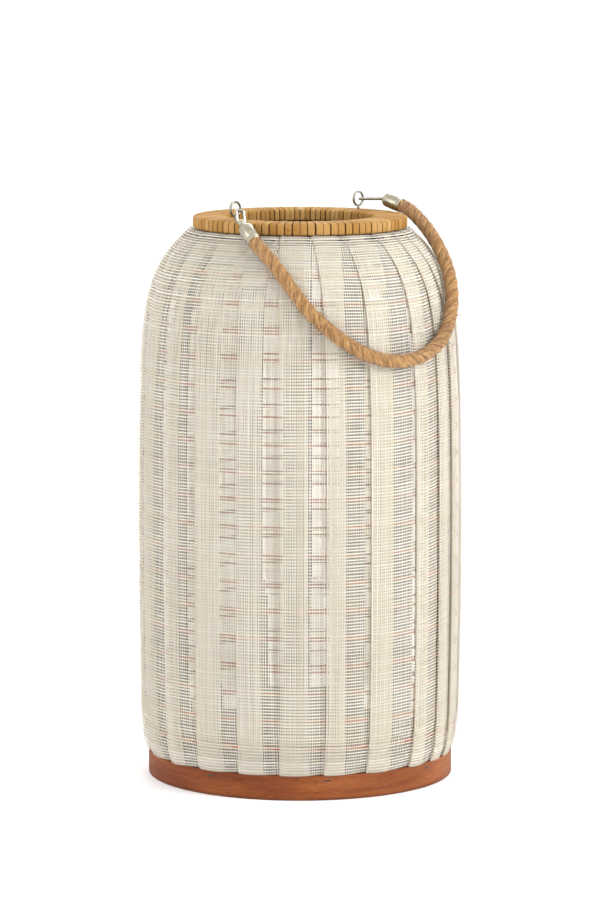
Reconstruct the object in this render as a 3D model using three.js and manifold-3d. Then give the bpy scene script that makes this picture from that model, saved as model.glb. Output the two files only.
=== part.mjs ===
import * as THREE from "three";
import { mergeVertices } from "three/addons/utils/BufferGeometryUtils.js";
import Module from "manifold-3d";

// A tall lantern: a basket of bamboo slats and rattan rods under a pleated gauze cover, on a stapled wooden
// hoop, with a reed-wrapped ring round its open top, a rope handle on two eye screws and a loose candle glass.
// Millimetres, +Z up, the origin at the middle of the underside. An azimuth is in degrees from the front (-Y)
// towards +X.

const gap = 0.3; // between pieces that touch
const roundSteps = 32;

// Base
const hoopRadius = 136.2;
const hoopWall = 6;
const hoopHeight = 22;
const hoopEdge = 1;
const floorThickness = 12;
const rimRadius = 126.3;
const rimWall = 3.5;
const rimTop = 34;
const stapleCount = 8;
const firstStaple = -35;
const stapleHeight = 17.5;
const stapleCrown = 6.4;
const stapleLeg = 3.2;
const stapleWire = 1.2;
const stapleSink = 0.9; // from the hoop's face to the crown
const pocketReach = 3;

// Basket and cover
const coverOutline = [
  [135.9, 22.3],
  [140.3, 35],
  [142.2, 72],
  [143.7, 180],
  [143.3, 306],
  [141, 372],
  [136.5, 420],
  [127.5, 451.5],
  [114, 473],
  [98.4, 488.8],
];
const coverThickness = 2;
const coverSteps = 18;
const rodRadius = 1.9;
const rodCount = 18;
const lowestRod = 46;
const rodPitch = 24.3;
const slatWidth = 22;
const slatThickness = 1.8;
const slatClearance = 1.3; // inside the rods
const slatFoot = 13;
const slatFootRadius = 128.7;
const slatStraight = 3; // above the hoop
const slatBend = [60, 476]; // heights between which a slat follows the outline
const slatSteps = 10;
// A slat's toe turns in under the ring: radius and drop below it
const slatToe = [
  [98, 3.6],
  [89, 0.6],
  [87, 0],
  [81, 0],
];
const slatAzimuths = [
  -160.5, -142, -125.5, -108.3, -90, -71.7, -53.3, -37.3, -19.3, -1.6,
  19.5, 41.3, 60.8, 80.3, 99.7, 119.2, 138.7, 158.4, 180,
];

// Top ring
const ringInner = 64.7;
const ringOuter = 95.3;
const ringBottom = 490;
const ringTop = 500;
const ringDome = 1.2;
const ringChamfer = 1.8;
const reedThickness = 1.6;
const reedSeam = 1;

// Eye screws and links
const eyeRadius = 80;
const leftEyeAzimuth = -45;
const rightEyeAzimuth = 139;
const hingeHeight = 510.6;
const eyeLoop = 6.2;
const eyeWire = 1.1;
const eyeStemFoot = 494.5;
const eyeStemTip = 0.9;
const eyeHoleClearance = 0.4;
const linkWire = 1.3;
const linkHalfWidth = 3.3;
const linkTurn = 6; // steps round the bow
const linkSteps = 32;
// A link's leg: its in-turned end, as lengths ahead of and aside from the lug, then shares of the way to the bow
const linkEnd = [
  [0, 0.6],
  [0, 2],
  [-0.6, 3],
];
const linkLeg = [0.12, 0.4, 0.7];
const lugRadius = 3;
const neckRadius = 2.2;
const neckSink = 1; // into the ferrule

// Handle: where each ferrule's lug and mouth lie, and the rope's way between the mouths
const ferruleRadius = 6.5;
const ferruleLength = 19.5;
const ferruleShoulder = 1.6;
const ropeRadius = 6;
const ropeSteps = 30;
const ropeStraight = 3; // before the rope bends
const leftLug = [-51, -88, 500.8];
const leftMouth = [-39.3, -105.3, 486];
const rightLug = [76.4, 50, 511.2];
const rightMouth = [91, 37.6, 505.8];
const ropeWay = [
  [-35.8, -110.2, 482.2],
  [-28.7, -118, 475],
  [-18.2, -128.3, 463],
  [-7, -136.7, 448],
  [6, -141.6, 431],
  [23, -143, 415],
  [41, -140.6, 401],
  [59.5, -134.6, 390.5],
  [78.5, -124.8, 384.5],
  [98, -110.6, 384.5],
  [116, -90.6, 391.5],
  [127.2, -72.4, 404.5],
  [133, -54.5, 425],
  [132, -39, 447.5],
  [125, -21.5, 468.5],
  [113.5, 0, 487.5],
  [100.5, 23, 501],
  [96, 32, 503.9],
];

// Candle glass
const glassRadius = 50;
const glassWall = 3;
const glassFloor = 4.5;
const glassEase = 1;
const glassHeight = 155;

const materials = {
  hoopWood: new THREE.MeshStandardMaterial({ color: 0xa4582c, roughness: 0.6 }),
  board: new THREE.MeshStandardMaterial({ color: 0x3d2418, roughness: 0.8 }),
  staple: new THREE.MeshStandardMaterial({ color: 0x2a221c, roughness: 0.5, metalness: 0.8 }),
  bamboo: new THREE.MeshStandardMaterial({ color: 0x2e1b12, roughness: 0.6 }),
  rattan: new THREE.MeshStandardMaterial({ color: 0xa04a20, roughness: 0.6 }),
  gauze: new THREE.MeshStandardMaterial({ color: 0xece5d5, roughness: 0.95 }),
  reed: new THREE.MeshStandardMaterial({ color: 0xc8955a, roughness: 0.65 }),
  core: new THREE.MeshStandardMaterial({ color: 0x8a6a45, roughness: 0.8 }),
  zinc: new THREE.MeshStandardMaterial({ color: 0xb9b8ae, roughness: 0.3, metalness: 1 }),
  nickel: new THREE.MeshStandardMaterial({ color: 0xc6c0b0, roughness: 0.4, metalness: 1 }),
  jute: new THREE.MeshStandardMaterial({ color: 0xa67c52, roughness: 0.95 }),
  glass: new THREE.MeshStandardMaterial({ color: 0xe8f0ee, roughness: 0.05, transparent: true, opacity: 0.3 }),
};

const wasm = await Module();
wasm.setup();

const rad = THREE.MathUtils.degToRad;
const at = ([x, y, z]) => new THREE.Vector3(x, y, z);

// A closed geometry as a solid that can be joined and cut.
function solid(geometry) {
  const bare = geometry.clone();
  bare.deleteAttribute("normal");
  bare.deleteAttribute("uv");
  const merged = mergeVertices(bare, 1e-3);
  return new wasm.Manifold(
    new wasm.Mesh({
      numProp: 3,
      vertProperties: merged.attributes.position.array,
      triVerts: new Uint32Array(merged.index.array),
    }),
  );
}

function geometryOf(made) {
  const mesh = made.getMesh();
  const geometry = new THREE.BufferGeometry();
  geometry.setAttribute("position", new THREE.BufferAttribute(mesh.vertProperties, 3));
  geometry.setIndex(new THREE.BufferAttribute(mesh.triVerts, 1));
  geometry.computeVertexNormals();
  return geometry;
}

function piece(name, geometry, material) {
  const mesh = new THREE.Mesh(geometry, materials[material].clone());
  mesh.name = name;
  return mesh;
}

// A profile of [radius, height] points turned about Z. It runs up its outside, and down its inside or the axis.
function turned(profile, steps = roundSteps) {
  const points = profile.map(([r, z]) => new THREE.Vector2(r, z));
  return new THREE.LatheGeometry(points, steps).rotateX(Math.PI / 2);
}

// A wall between two radii, with its outer edges eased.
function hoop(outer, wall, bottom, top, edge = 0) {
  const profile = [
    [outer - wall, bottom],
    [outer - edge, bottom],
    [outer, bottom + edge],
    [outer, top - edge],
    [outer - edge, top],
    [outer - wall, top],
    [outer - wall, bottom],
  ];
  const eased = profile.filter(([r, z], i) => !i || r !== profile[i - 1][0] || z !== profile[i - 1][1]);
  return turned(eased);
}

// A round wire along a smooth curve through the points.
function wire(points, radius, steps, sides) {
  const section = new THREE.Shape();
  for (let i = 0; i < sides; i++) {
    const turn = (2 * Math.PI * i) / sides;
    const move = i ? "lineTo" : "moveTo";
    section[move](radius * Math.cos(turn), radius * Math.sin(turn));
  }
  const extrudePath = new THREE.CatmullRomCurve3(points, false, "centripetal");
  return new THREE.ExtrudeGeometry(section, { steps, extrudePath });
}

// The cover's outer outline, from its hem up. A depth is measured inwards, square to the outline.
const outline = new THREE.SplineCurve(coverOutline.map(([r, z]) => new THREE.Vector2(r, z)));

function under(share, depth) {
  const point = outline.getPoint(share);
  const along = outline.getTangent(share);
  return [point.x - along.y * depth, point.y + along.x * depth];
}

function shareAt(height) {
  let low = 0;
  let high = 1;
  for (let i = 0; i < 30; i++) {
    const middle = (low + high) / 2;
    if (outline.getPoint(middle).y < height) low = middle;
    else high = middle;
  }
  return low;
}

function layer(from, to, steps, depth) {
  return Array.from({ length: steps + 1 }, (_, i) => under(from + ((to - from) * i) / steps, depth));
}

// Base: hoop, floor, inner rim and staples

// A staple lying flat, its crown towards +Y. Grown by a gap, it is the pocket that it sits in.
function stapleShape(grow) {
  const half = stapleCrown / 2 + grow;
  const inner = half - stapleWire - 2 * grow;
  const crown = hoopRadius - stapleSink;
  const back = crown - stapleWire - grow;
  const foot = back - stapleLeg;
  const front = crown + (grow ? pocketReach : 0);
  const shape = new THREE.Shape();
  shape.moveTo(-half, foot);
  shape.lineTo(-inner, foot);
  shape.lineTo(-inner, back);
  shape.lineTo(inner, back);
  shape.lineTo(inner, foot);
  shape.lineTo(half, foot);
  shape.lineTo(half, front);
  shape.lineTo(-half, front);
  shape.closePath();
  const geometry = new THREE.ExtrudeGeometry(shape, { depth: stapleWire + 2 * grow, bevelEnabled: false });
  return geometry.translate(0, 0, stapleHeight - stapleWire / 2 - grow);
}

function buildBase() {
  const base = new THREE.Group();
  let hoopSolid = solid(hoop(hoopRadius, hoopWall, 0, hoopHeight, hoopEdge));
  for (let i = 0; i < stapleCount; i++) {
    const turn = rad(firstStaple + (360 / stapleCount) * i + 180);
    hoopSolid = hoopSolid.subtract(solid(stapleShape(gap).rotateZ(turn)));
    const staple = piece(`base_staple_${i + 1}`, stapleShape(0), "staple");
    staple.rotation.z = turn;
    base.add(staple);
  }
  const floorRadius = hoopRadius - hoopWall - gap;
  const floorProfile = [
    [0, 0],
    [floorRadius, 0],
    [floorRadius, floorThickness],
    [0, floorThickness],
  ];
  base.add(
    piece("base_hoop", geometryOf(hoopSolid), "hoopWood"),
    piece("floor_board", turned(floorProfile), "board"),
    piece("bottom_inner_rim", hoop(rimRadius, rimWall, floorThickness + gap, rimTop), "bamboo"),
  );
  return base;
}

// Basket: rods round the slats, and slats that stand in the hoop and end flat under the top ring

function buildBasket() {
  const basket = new THREE.Group();
  const rodDepth = coverThickness + gap + rodRadius;
  for (let i = 0; i < rodCount; i++) {
    const [radius, height] = under(shareAt(lowestRod + rodPitch * i), rodDepth);
    const profile = [
      [radius - rodRadius, height],
      [radius, height - rodRadius],
      [radius + rodRadius, height],
      [radius, height + rodRadius],
      [radius - rodRadius, height],
    ];
    basket.add(piece(`rattan_rod_${String(i + 1).padStart(2, "0")}`, turned(profile), "rattan"));
  }
  const slatDepth = rodDepth + rodRadius + slatClearance;
  const toe = ringBottom - gap;
  const face = [
    [slatFootRadius, slatFoot],
    [slatFootRadius, hoopHeight + slatStraight],
    ...layer(...slatBend.map(shareAt), slatSteps, slatDepth),
    ...slatToe.map(([radius, drop]) => [radius, toe - drop]),
  ];
  const backs = face.map(([r, z], i) => {
    const [r0, z0] = face[Math.max(i - 1, 0)];
    const [r1, z1] = face[Math.min(i + 1, face.length - 1)];
    const length = Math.hypot(r1 - r0, z1 - z0);
    return [r - ((z1 - z0) / length) * slatThickness, z + ((r1 - r0) / length) * slatThickness];
  });
  const shape = new THREE.Shape([...face, ...backs.reverse()].map(([r, z]) => new THREE.Vector2(r, z)));
  slatAzimuths.forEach((azimuth, i) => {
    const strip = new THREE.ExtrudeGeometry(shape, { depth: slatWidth, bevelEnabled: false });
    strip.translate(0, 0, -slatWidth / 2).rotateX(Math.PI / 2);
    const slat = piece(`bamboo_slat_${String(i + 1).padStart(2, "0")}`, strip, "bamboo");
    slat.rotation.z = rad(azimuth - 90);
    basket.add(slat);
  });
  return basket;
}

function buildCover() {
  const outside = layer(0, 1, coverSteps, 0);
  const inside = layer(0, 1, coverSteps, coverThickness).reverse();
  inside[0][1] = outside[coverSteps][1];
  inside[coverSteps][1] = outside[0][1];
  return piece("gauze_cover", turned([...outside, ...inside, outside[0]]), "gauze");
}

// Top ring: a flat core inside a wrapping of reed, whose seam is open underneath

function eyeHole(eye) {
  const depth = hingeHeight - eyeStemFoot;
  const radius = eyeWire + eyeHoleClearance;
  const hole = new THREE.CylinderGeometry(radius, radius, depth, 8).rotateX(Math.PI / 2);
  return solid(hole.translate(eye.x, eye.y, hingeHeight - depth / 2 - gap));
}

function buildRing(eyes) {
  const middle = (ringInner + ringOuter) / 2;
  const inner = ringInner + reedThickness;
  const outer = ringOuter - reedThickness;
  const wrapProfile = [
    [middle + reedSeam / 2, ringBottom],
    [ringOuter - ringChamfer, ringBottom],
    [ringOuter, ringBottom + ringChamfer],
    [ringOuter, ringTop - ringChamfer],
    [ringOuter - ringChamfer, ringTop],
    [middle, ringTop + ringDome],
    [ringInner + ringChamfer, ringTop],
    [ringInner, ringTop - ringChamfer],
    [ringInner, ringBottom + ringChamfer],
    [ringInner + ringChamfer, ringBottom],
    [middle - reedSeam / 2, ringBottom],
    [middle - reedSeam / 2, ringBottom + reedThickness],
    [inner, ringBottom + reedThickness],
    [inner, ringTop - reedThickness],
    [outer, ringTop - reedThickness],
    [outer, ringBottom + reedThickness],
    [middle + reedSeam / 2, ringBottom + reedThickness],
    [middle + reedSeam / 2, ringBottom],
  ];
  const coreBottom = ringBottom + reedThickness + gap;
  const coreTop = ringTop - reedThickness - gap;
  const coreWall = outer - inner - 2 * gap;
  let wrap = solid(turned(wrapProfile));
  let core = solid(hoop(outer - gap, coreWall, coreBottom, coreTop));
  for (const eye of eyes) {
    const hole = eyeHole(eye);
    wrap = wrap.subtract(hole);
    core = core.subtract(hole);
  }
  const ring = new THREE.Group();
  ring.add(
    piece("top_ring_wrap", geometryOf(wrap), "reed"),
    piece("top_ring_core", geometryOf(core), "core"),
  );
  return ring;
}

// Eye screws stand on the ring. The handle hinges on the line through their loops: a link hooks through each
// loop and holds a ferrule, and the rope runs from mouth to mouth.

const eyeAt = (azimuth) =>
  new THREE.Vector3(eyeRadius * Math.sin(rad(azimuth)), -eyeRadius * Math.cos(rad(azimuth)), hingeHeight);

function buildEye(name, eye, facing) {
  const loop = new THREE.TorusGeometry(eyeLoop, eyeWire, 6, 18).rotateX(Math.PI / 2);
  const stemLength = hingeHeight - eyeLoop - eyeStemFoot;
  const stem = new THREE.CylinderGeometry(eyeWire, eyeStemTip, stemLength, 6).rotateX(Math.PI / 2);
  stem.translate(0, 0, -eyeLoop - stemLength / 2);
  const mesh = piece(name, geometryOf(solid(loop).add(solid(stem))), "zinc");
  mesh.position.copy(eye);
  mesh.rotation.z = facing;
  return mesh;
}

// The link's line: in at one side of the lug, along a leg, round the loop's limb and back along the other leg.
function linkLine(eye, lug, hinge) {
  const toLug = lug.clone().sub(eye);
  const outwards = toLug.clone().addScaledVector(hinge, -toLug.dot(hinge)).normalize();
  const limb = eye.clone().addScaledVector(outwards, eyeLoop);
  const along = lug.clone().sub(limb).normalize();
  const across = new THREE.Vector3().crossVectors(along, outwards.clone().cross(hinge)).normalize();
  const place = (from, ahead, aside) =>
    from.clone().addScaledVector(along, ahead).addScaledVector(across, aside);
  const leg = (side) => [
    ...linkEnd.map(([ahead, aside]) => place(lug, ahead, side * aside)),
    ...linkLeg.map((share) => place(lug.clone().lerp(limb, share), 0, side * linkHalfWidth)),
  ];
  const bow = Array.from({ length: linkTurn + 1 }, (_, i) => {
    const turn = (Math.PI * i) / linkTurn;
    return place(limb, -linkHalfWidth * Math.sin(turn), linkHalfWidth * Math.cos(turn));
  });
  return [...leg(1), ...bow, ...leg(-1).reverse()];
}

function buildFerrule(name, lug, mouth, line) {
  const axis = lug.clone().sub(mouth);
  const reach = axis.length();
  const bodyProfile = [
    [0, 0],
    [ferruleRadius, 0],
    [ferruleRadius, ferruleLength - ferruleShoulder],
    [ferruleRadius - ferruleShoulder, ferruleLength],
    [0, ferruleLength],
  ];
  const neckLength = reach - ferruleLength + neckSink;
  const neck = new THREE.CylinderGeometry(neckRadius, neckRadius, neckLength, 8).rotateX(Math.PI / 2);
  const knob = new THREE.SphereGeometry(lugRadius, 10, 6);
  const turn = new THREE.Quaternion().setFromUnitVectors(new THREE.Vector3(0, 0, 1), axis.normalize());
  const place = (geometry, height) =>
    solid(geometry.translate(0, 0, height).applyQuaternion(turn).translate(mouth.x, mouth.y, mouth.z));
  const whole = place(turned(bodyProfile, 12), 0)
    .add(place(neck, reach - neckLength / 2))
    .add(place(knob, reach));
  const linkWay = solid(wire(line, linkWire + gap, linkSteps, 8));
  return piece(name, geometryOf(whole.subtract(linkWay)), "nickel");
}

function buildHandle(leftEye, rightEye) {
  const handle = new THREE.Group();
  const hinge = rightEye.clone().sub(leftEye).normalize();
  const ends = [
    ["left", leftEye, at(leftLug), at(leftMouth)],
    ["right", rightEye, at(rightLug), at(rightMouth)],
  ];
  const ropeEnds = ends.map(([side, eye, lug, mouth]) => {
    const line = linkLine(eye, lug, hinge);
    handle.add(
      piece(`handle_link_${side}`, wire(line, linkWire, linkSteps, 6), "zinc"),
      buildFerrule(`ferrule_${side}`, lug, mouth, line),
    );
    const outwards = mouth.clone().sub(lug).normalize();
    return [gap, ropeStraight].map((ahead) => mouth.clone().addScaledVector(outwards, ahead));
  });
  const way = [...ropeEnds[0], ...ropeWay.map(at), ...ropeEnds[1].reverse()];
  handle.add(piece("handle_rope", wire(way, ropeRadius, ropeSteps, 10), "jute"));
  return handle;
}

function buildGlass() {
  const inner = glassRadius - glassWall;
  const profile = [
    [0, 0],
    [glassRadius - glassEase, 0],
    [glassRadius, glassEase],
    [glassRadius, glassHeight],
    [inner, glassHeight],
    [inner, glassFloor],
    [0, glassFloor],
  ];
  const glass = piece("candle_glass", turned(profile, 24), "glass");
  glass.position.z = floorThickness + gap;
  return glass;
}

const leftEye = eyeAt(leftEyeAzimuth);
const rightEye = eyeAt(rightEyeAzimuth);
const facing = Math.atan2(leftEye.x - rightEye.x, rightEye.y - leftEye.y);
const lantern = new THREE.Group();
lantern.add(
  buildBase(),
  buildBasket(),
  buildCover(),
  buildRing([leftEye, rightEye]),
  buildEye("eye_screw_left", leftEye, facing),
  buildEye("eye_screw_right", rightEye, facing),
  buildHandle(leftEye, rightEye),
  buildGlass(),
);

export default lantern;
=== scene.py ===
import math
import random

import bpy
import numpy as np
from mathutils import Matrix, Vector


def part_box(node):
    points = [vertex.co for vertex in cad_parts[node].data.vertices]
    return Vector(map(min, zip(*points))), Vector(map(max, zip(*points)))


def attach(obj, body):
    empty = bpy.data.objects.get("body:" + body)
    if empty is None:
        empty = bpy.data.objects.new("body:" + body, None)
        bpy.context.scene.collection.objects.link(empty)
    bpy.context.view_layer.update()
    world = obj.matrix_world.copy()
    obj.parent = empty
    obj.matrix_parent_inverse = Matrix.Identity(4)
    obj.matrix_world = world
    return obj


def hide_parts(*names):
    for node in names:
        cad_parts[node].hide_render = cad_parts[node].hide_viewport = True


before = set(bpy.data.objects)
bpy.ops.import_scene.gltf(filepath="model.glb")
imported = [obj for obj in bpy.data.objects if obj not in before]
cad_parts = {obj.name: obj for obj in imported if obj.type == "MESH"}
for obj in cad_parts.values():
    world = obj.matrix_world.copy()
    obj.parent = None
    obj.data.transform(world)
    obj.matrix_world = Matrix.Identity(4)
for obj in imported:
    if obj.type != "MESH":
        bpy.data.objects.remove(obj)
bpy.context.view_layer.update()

mm = 0.001
bodyName = "lantern_body"
handleName = "handle"


# Camera first, then the rope: everything else is built behind them.

cameraSettings = {"place": (0, -3.930, 0.823), "pitch": 82.28, "lens": 177.6, "sensor": 36}


def addCamera():
    data = bpy.data.cameras.new("camera")
    data.lens = cameraSettings["lens"]
    data.sensor_width = cameraSettings["sensor"]
    camera = bpy.data.objects.new("camera", data)
    camera.location = cameraSettings["place"]
    camera.rotation_euler = (math.radians(cameraSettings["pitch"]), 0, 0)
    bpy.context.scene.collection.objects.link(camera)
    bpy.context.scene.camera = camera


# Shader helpers

class Socket:
    # An output socket with arithmetic: each operator adds one Math node.
    def __init__(self, shader, socket):
        self.shader = shader
        self.socket = socket

    def combine(self, operation, first, second):
        return self.shader.add("ShaderNodeMath", {"operation": operation}, {0: first, 1: second})

    def __add__(self, other):
        return self.combine("ADD", self, other)

    __radd__ = __add__

    def __sub__(self, other):
        return self.combine("SUBTRACT", self, other)

    def __rsub__(self, other):
        return self.combine("SUBTRACT", other, self)

    def __mul__(self, other):
        return self.combine("MULTIPLY", self, other)

    __rmul__ = __mul__


class Shader:
    # A material's node tree. add() takes a node's type, its settings and then its inputs.
    def __init__(self, name):
        self.material = bpy.data.materials.new(name)
        self.material.use_nodes = True
        self.tree = self.material.node_tree
        self.surface = self.tree.nodes["Principled BSDF"]
        self.output = self.tree.nodes["Material Output"]

    def add(self, kind, settings=None, inputs=None, output=0):
        node = self.tree.nodes.new(kind)
        for key, value in (settings or {}).items():
            if key == "stops":
                ramp = node.color_ramp
                while len(ramp.elements) < len(value):
                    ramp.elements.new(0.5)
                for element, (place, colour) in zip(ramp.elements, value):
                    element.position = place
                    element.color = (*colour, 1)
            else:
                setattr(node, key, value)
        for key, value in (inputs or {}).items():
            self.plug(node.inputs[key], value)
        return Socket(self, node.outputs[output])

    def plug(self, target, value):
        if isinstance(value, Socket):
            self.tree.links.new(value.socket, target)
        elif isinstance(value, tuple) and len(value) == 3 and target.type == "RGBA":
            target.default_value = (*value, 1)
        else:
            target.default_value = value

    def finish(self, **values):
        for key, value in values.items():
            self.plug(self.surface.inputs[key.replace("_", " ")], value)
        return self.material

    def place(self, source="Object"):
        return self.add("ShaderNodeTexCoord", output=source)

    def scaled(self, vector, scale, turn=(0, 0, 0)):
        return self.add("ShaderNodeMapping", {}, {"Vector": vector, "Scale": scale, "Rotation": turn})

    def noise(self, vector, scale, detail=3.0, roughness=0.55, distortion=0.0):
        inputs = {"Vector": vector, "Scale": scale, "Detail": detail}
        inputs.update({"Roughness": roughness, "Distortion": distortion})
        return self.add("ShaderNodeTexNoise", {}, inputs)

    def ramp(self, value, stops, output=0):
        return self.add("ShaderNodeValToRGB", {"stops": stops}, {"Fac": value}, output)

    def between(self, value, low, high, start=0.0, end=1.0):
        inputs = {"Value": value, "From Min": low, "From Max": high, "To Min": start, "To Max": end}
        return self.add("ShaderNodeMapRange", {}, inputs)

    def mix(self, factor, first, second, blend="MIX"):
        settings = {"data_type": "RGBA", "blend_type": blend}
        return self.add("ShaderNodeMix", settings, {0: factor, 6: first, 7: second}, 2)

    def bump(self, height, distance, strength=1.0):
        return self.add("ShaderNodeBump", {}, {"Height": height, "Distance": distance, "Strength": strength})

    def attribute(self, name, output="Fac"):
        return self.add("ShaderNodeAttribute", {"attribute_name": name}, {}, output)


def tone(hexColour):
    # A linear colour from the usual six digits.
    parts = [int(hexColour[i : i + 2], 16) / 255 for i in (0, 2, 4)]
    return tuple(c / 12.92 if c <= 0.04045 else ((c + 0.055) / 1.055) ** 2.4 for c in parts)


# Modelling helpers

def clearSelection():
    if bpy.context.object and bpy.context.object.mode != "OBJECT":
        bpy.ops.object.mode_set(mode="OBJECT")
    bpy.ops.object.select_all(action="DESELECT")


def activate(piece):
    clearSelection()
    piece.select_set(True)
    bpy.context.view_layer.objects.active = piece


def settle(piece, matrix=None):
    # The piece's place goes into its mesh, and its object back to the origin.
    activate(piece)
    if matrix is not None:
        piece.matrix_world = matrix @ piece.matrix_world
    bpy.ops.object.transform_apply(location=True, rotation=True, scale=True)
    return piece


def smooth(piece, angle=35):
    activate(piece)
    bpy.ops.object.shade_smooth_by_angle(angle=math.radians(angle))
    return piece


def selectFaces(piece, test):
    # Into edit mode, with only the faces that pass the test selected.
    activate(piece)
    bpy.ops.object.mode_set(mode="EDIT")
    bpy.ops.mesh.select_mode(type="FACE")
    bpy.ops.mesh.select_all(action="DESELECT")
    bpy.ops.object.mode_set(mode="OBJECT")
    for polygon in piece.data.polygons:
        polygon.select = test(polygon)
    bpy.ops.object.mode_set(mode="EDIT")


def selectEdges(piece, test):
    activate(piece)
    bpy.ops.object.mode_set(mode="EDIT")
    bpy.ops.mesh.select_mode(type="EDGE")
    bpy.ops.mesh.select_all(action="DESELECT")
    bpy.ops.object.mode_set(mode="OBJECT")
    points = piece.data.vertices
    for edge in piece.data.edges:
        edge.select = test(*(points[i].co for i in edge.vertices))
    bpy.ops.object.mode_set(mode="EDIT")


def applied(piece, kind, **settings):
    activate(piece)
    modifier = piece.modifiers.new(kind.lower(), kind)
    for key, value in settings.items():
        setattr(modifier, key, value)
    bpy.ops.object.modifier_apply(modifier=modifier.name)
    return piece


def eased(piece, width, segments, sharp):
    # A bevel on the edges that turn more than the sharp angle, in degrees.
    angle = math.radians(sharp)
    return applied(piece, "BEVEL", width=width, segments=segments, limit_method="ANGLE", angle_limit=angle)


def joined(pieces, name):
    clearSelection()
    for piece in pieces:
        piece.select_set(True)
    bpy.context.view_layer.objects.active = pieces[0]
    if len(pieces) > 1:
        bpy.ops.object.join()
    pieces[0].name = name
    pieces[0].data.name = name
    return pieces[0]


def copied(piece, matrix):
    # A copy with its own mesh, moved by the matrix.
    other = piece.copy()
    other.data = piece.data.copy()
    for key in list(other.keys()):
        del other[key]
    bpy.context.scene.collection.objects.link(other)
    other.data.transform(matrix)
    return other


def finished(piece, body, material, replaced=()):
    piece.data.materials.clear()
    piece.data.materials.append(material)
    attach(piece, body)
    if replaced:
        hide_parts(*replaced)
    return piece


def barrel(name, rings, vertices):
    # Rings of (radius, height), extruded one from the last, closed at both ends.
    clearSelection()
    radius, height = rings[0]
    start = (0, 0, height)
    bpy.ops.mesh.primitive_circle_add(vertices=vertices, radius=radius, fill_type="NGON", location=start)
    piece = bpy.context.object
    bpy.ops.object.mode_set(mode="EDIT")
    bpy.ops.mesh.flip_normals()
    for nextRadius, nextHeight in rings[1:]:
        rise = {"value": (0, 0, nextHeight - height)}
        bpy.ops.mesh.extrude_region_move(TRANSFORM_OT_translate=rise)
        share = nextRadius / radius
        centre = (0, 0, nextHeight)
        bpy.ops.transform.resize(value=(share, share, 1), center_override=centre)
        radius, height = nextRadius, nextHeight
    bpy.ops.mesh.select_all(action="SELECT")
    bpy.ops.mesh.normals_make_consistent(inside=False)
    bpy.ops.object.mode_set(mode="OBJECT")
    piece.name = name
    return settle(piece)


def smoothThrough(points, count):
    # A centripetal curve through the points, at even steps along its length.
    points = np.array(points, float)
    ends = [2 * points[0] - points[1], 2 * points[-1] - points[-2]]
    held = np.vstack([ends[:1], points, ends[1:]])
    fine = []
    for a, b, c, d in zip(held, held[1:], held[2:], held[3:]):
        t1 = np.linalg.norm(b - a) ** 0.5
        t2 = t1 + np.linalg.norm(c - b) ** 0.5
        t3 = t2 + np.linalg.norm(d - c) ** 0.5
        for t in np.linspace(t1, t2, 24, endpoint=False):
            ab = (t1 - t) / t1 * a + t / t1 * b
            bc = (t2 - t) / (t2 - t1) * b + (t - t1) / (t2 - t1) * c
            cd = (t3 - t) / (t3 - t2) * c + (t - t2) / (t3 - t2) * d
            abc = (t2 - t) / t2 * ab + t / t2 * bc
            bcd = (t3 - t) / (t3 - t1) * bc + (t - t1) / (t3 - t1) * cd
            fine.append((t2 - t) / (t2 - t1) * abc + (t - t1) / (t2 - t1) * bcd)
    fine = np.array(fine + [points[-1]])
    travel = np.concatenate([[0], np.cumsum(np.linalg.norm(np.diff(fine, axis=0), axis=1))])
    even = np.linspace(0, travel[-1], count)
    return np.stack([np.interp(even, travel, fine[:, k]) for k in range(fine.shape[1])], axis=1)


def frames(line, start):
    # Two directions square to the line at each of its points, carried along without twist.
    ahead = np.gradient(line, axis=0)
    ahead /= np.linalg.norm(ahead, axis=1)[:, None]
    across = np.zeros_like(line)
    side = np.array(start, float)
    for i, way in enumerate(ahead):
        side = side - way * (side @ way)
        side /= np.linalg.norm(side)
        across[i] = side
    return across, np.cross(ahead, across)


def tube(name, line, radii, sides, start=(0, 0, 1), uvLength=1.0, shape=None):
    # A closed tube along the line. shape(ring, angle) may give each point's own radius.
    line = np.array(line, float)
    across, up = frames(line, start)
    angles = np.linspace(0, 2 * math.pi, sides, endpoint=False)
    rings = []
    for i, centre in enumerate(line):
        reach = shape(i, angles) if shape else np.full(sides, radii[i])
        sideways = np.outer(np.cos(angles) * reach, across[i])
        upwards = np.outer(np.sin(angles) * reach, up[i])
        rings.append(centre + (sideways + upwards))
    points = np.vstack(rings + [line[:1], line[-1:]])
    count = len(line)
    faces, uvs = [], []
    for i in range(count - 1):
        for j in range(sides):
            k = (j + 1) % sides
            faces.append((i * sides + j, i * sides + k, (i + 1) * sides + k, (i + 1) * sides + j))
            u0, u1 = j / sides, (j + 1) / sides
            v0, v1 = i / (count - 1) * uvLength, (i + 1) / (count - 1) * uvLength
            uvs.append(((u0, v0), (u1, v0), (u1, v1), (u0, v1)))
    first, last = count * sides, count * sides + 1
    for j in range(sides):
        k = (j + 1) % sides
        faces.append((first, k, j))
        faces.append((last, (count - 1) * sides + j, (count - 1) * sides + k))
        uvs.append(((j / sides, 0),) * 3)
        uvs.append(((j / sides, uvLength),) * 3)
    mesh = bpy.data.meshes.new(name)
    mesh.from_pydata(points.tolist(), [], faces)
    layer = mesh.uv_layers.new(name="along")
    layer.data.foreach_set("uv", np.array([c for face in uvs for c in face], np.float32).ravel())
    mesh.polygons.foreach_set("use_smooth", [True] * len(faces))
    mesh.update()
    piece = bpy.data.objects.new(name, mesh)
    bpy.context.scene.collection.objects.link(piece)
    return piece


# The rope: three strands laid together, from the left ferrule's mouth round to the right one's

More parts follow.
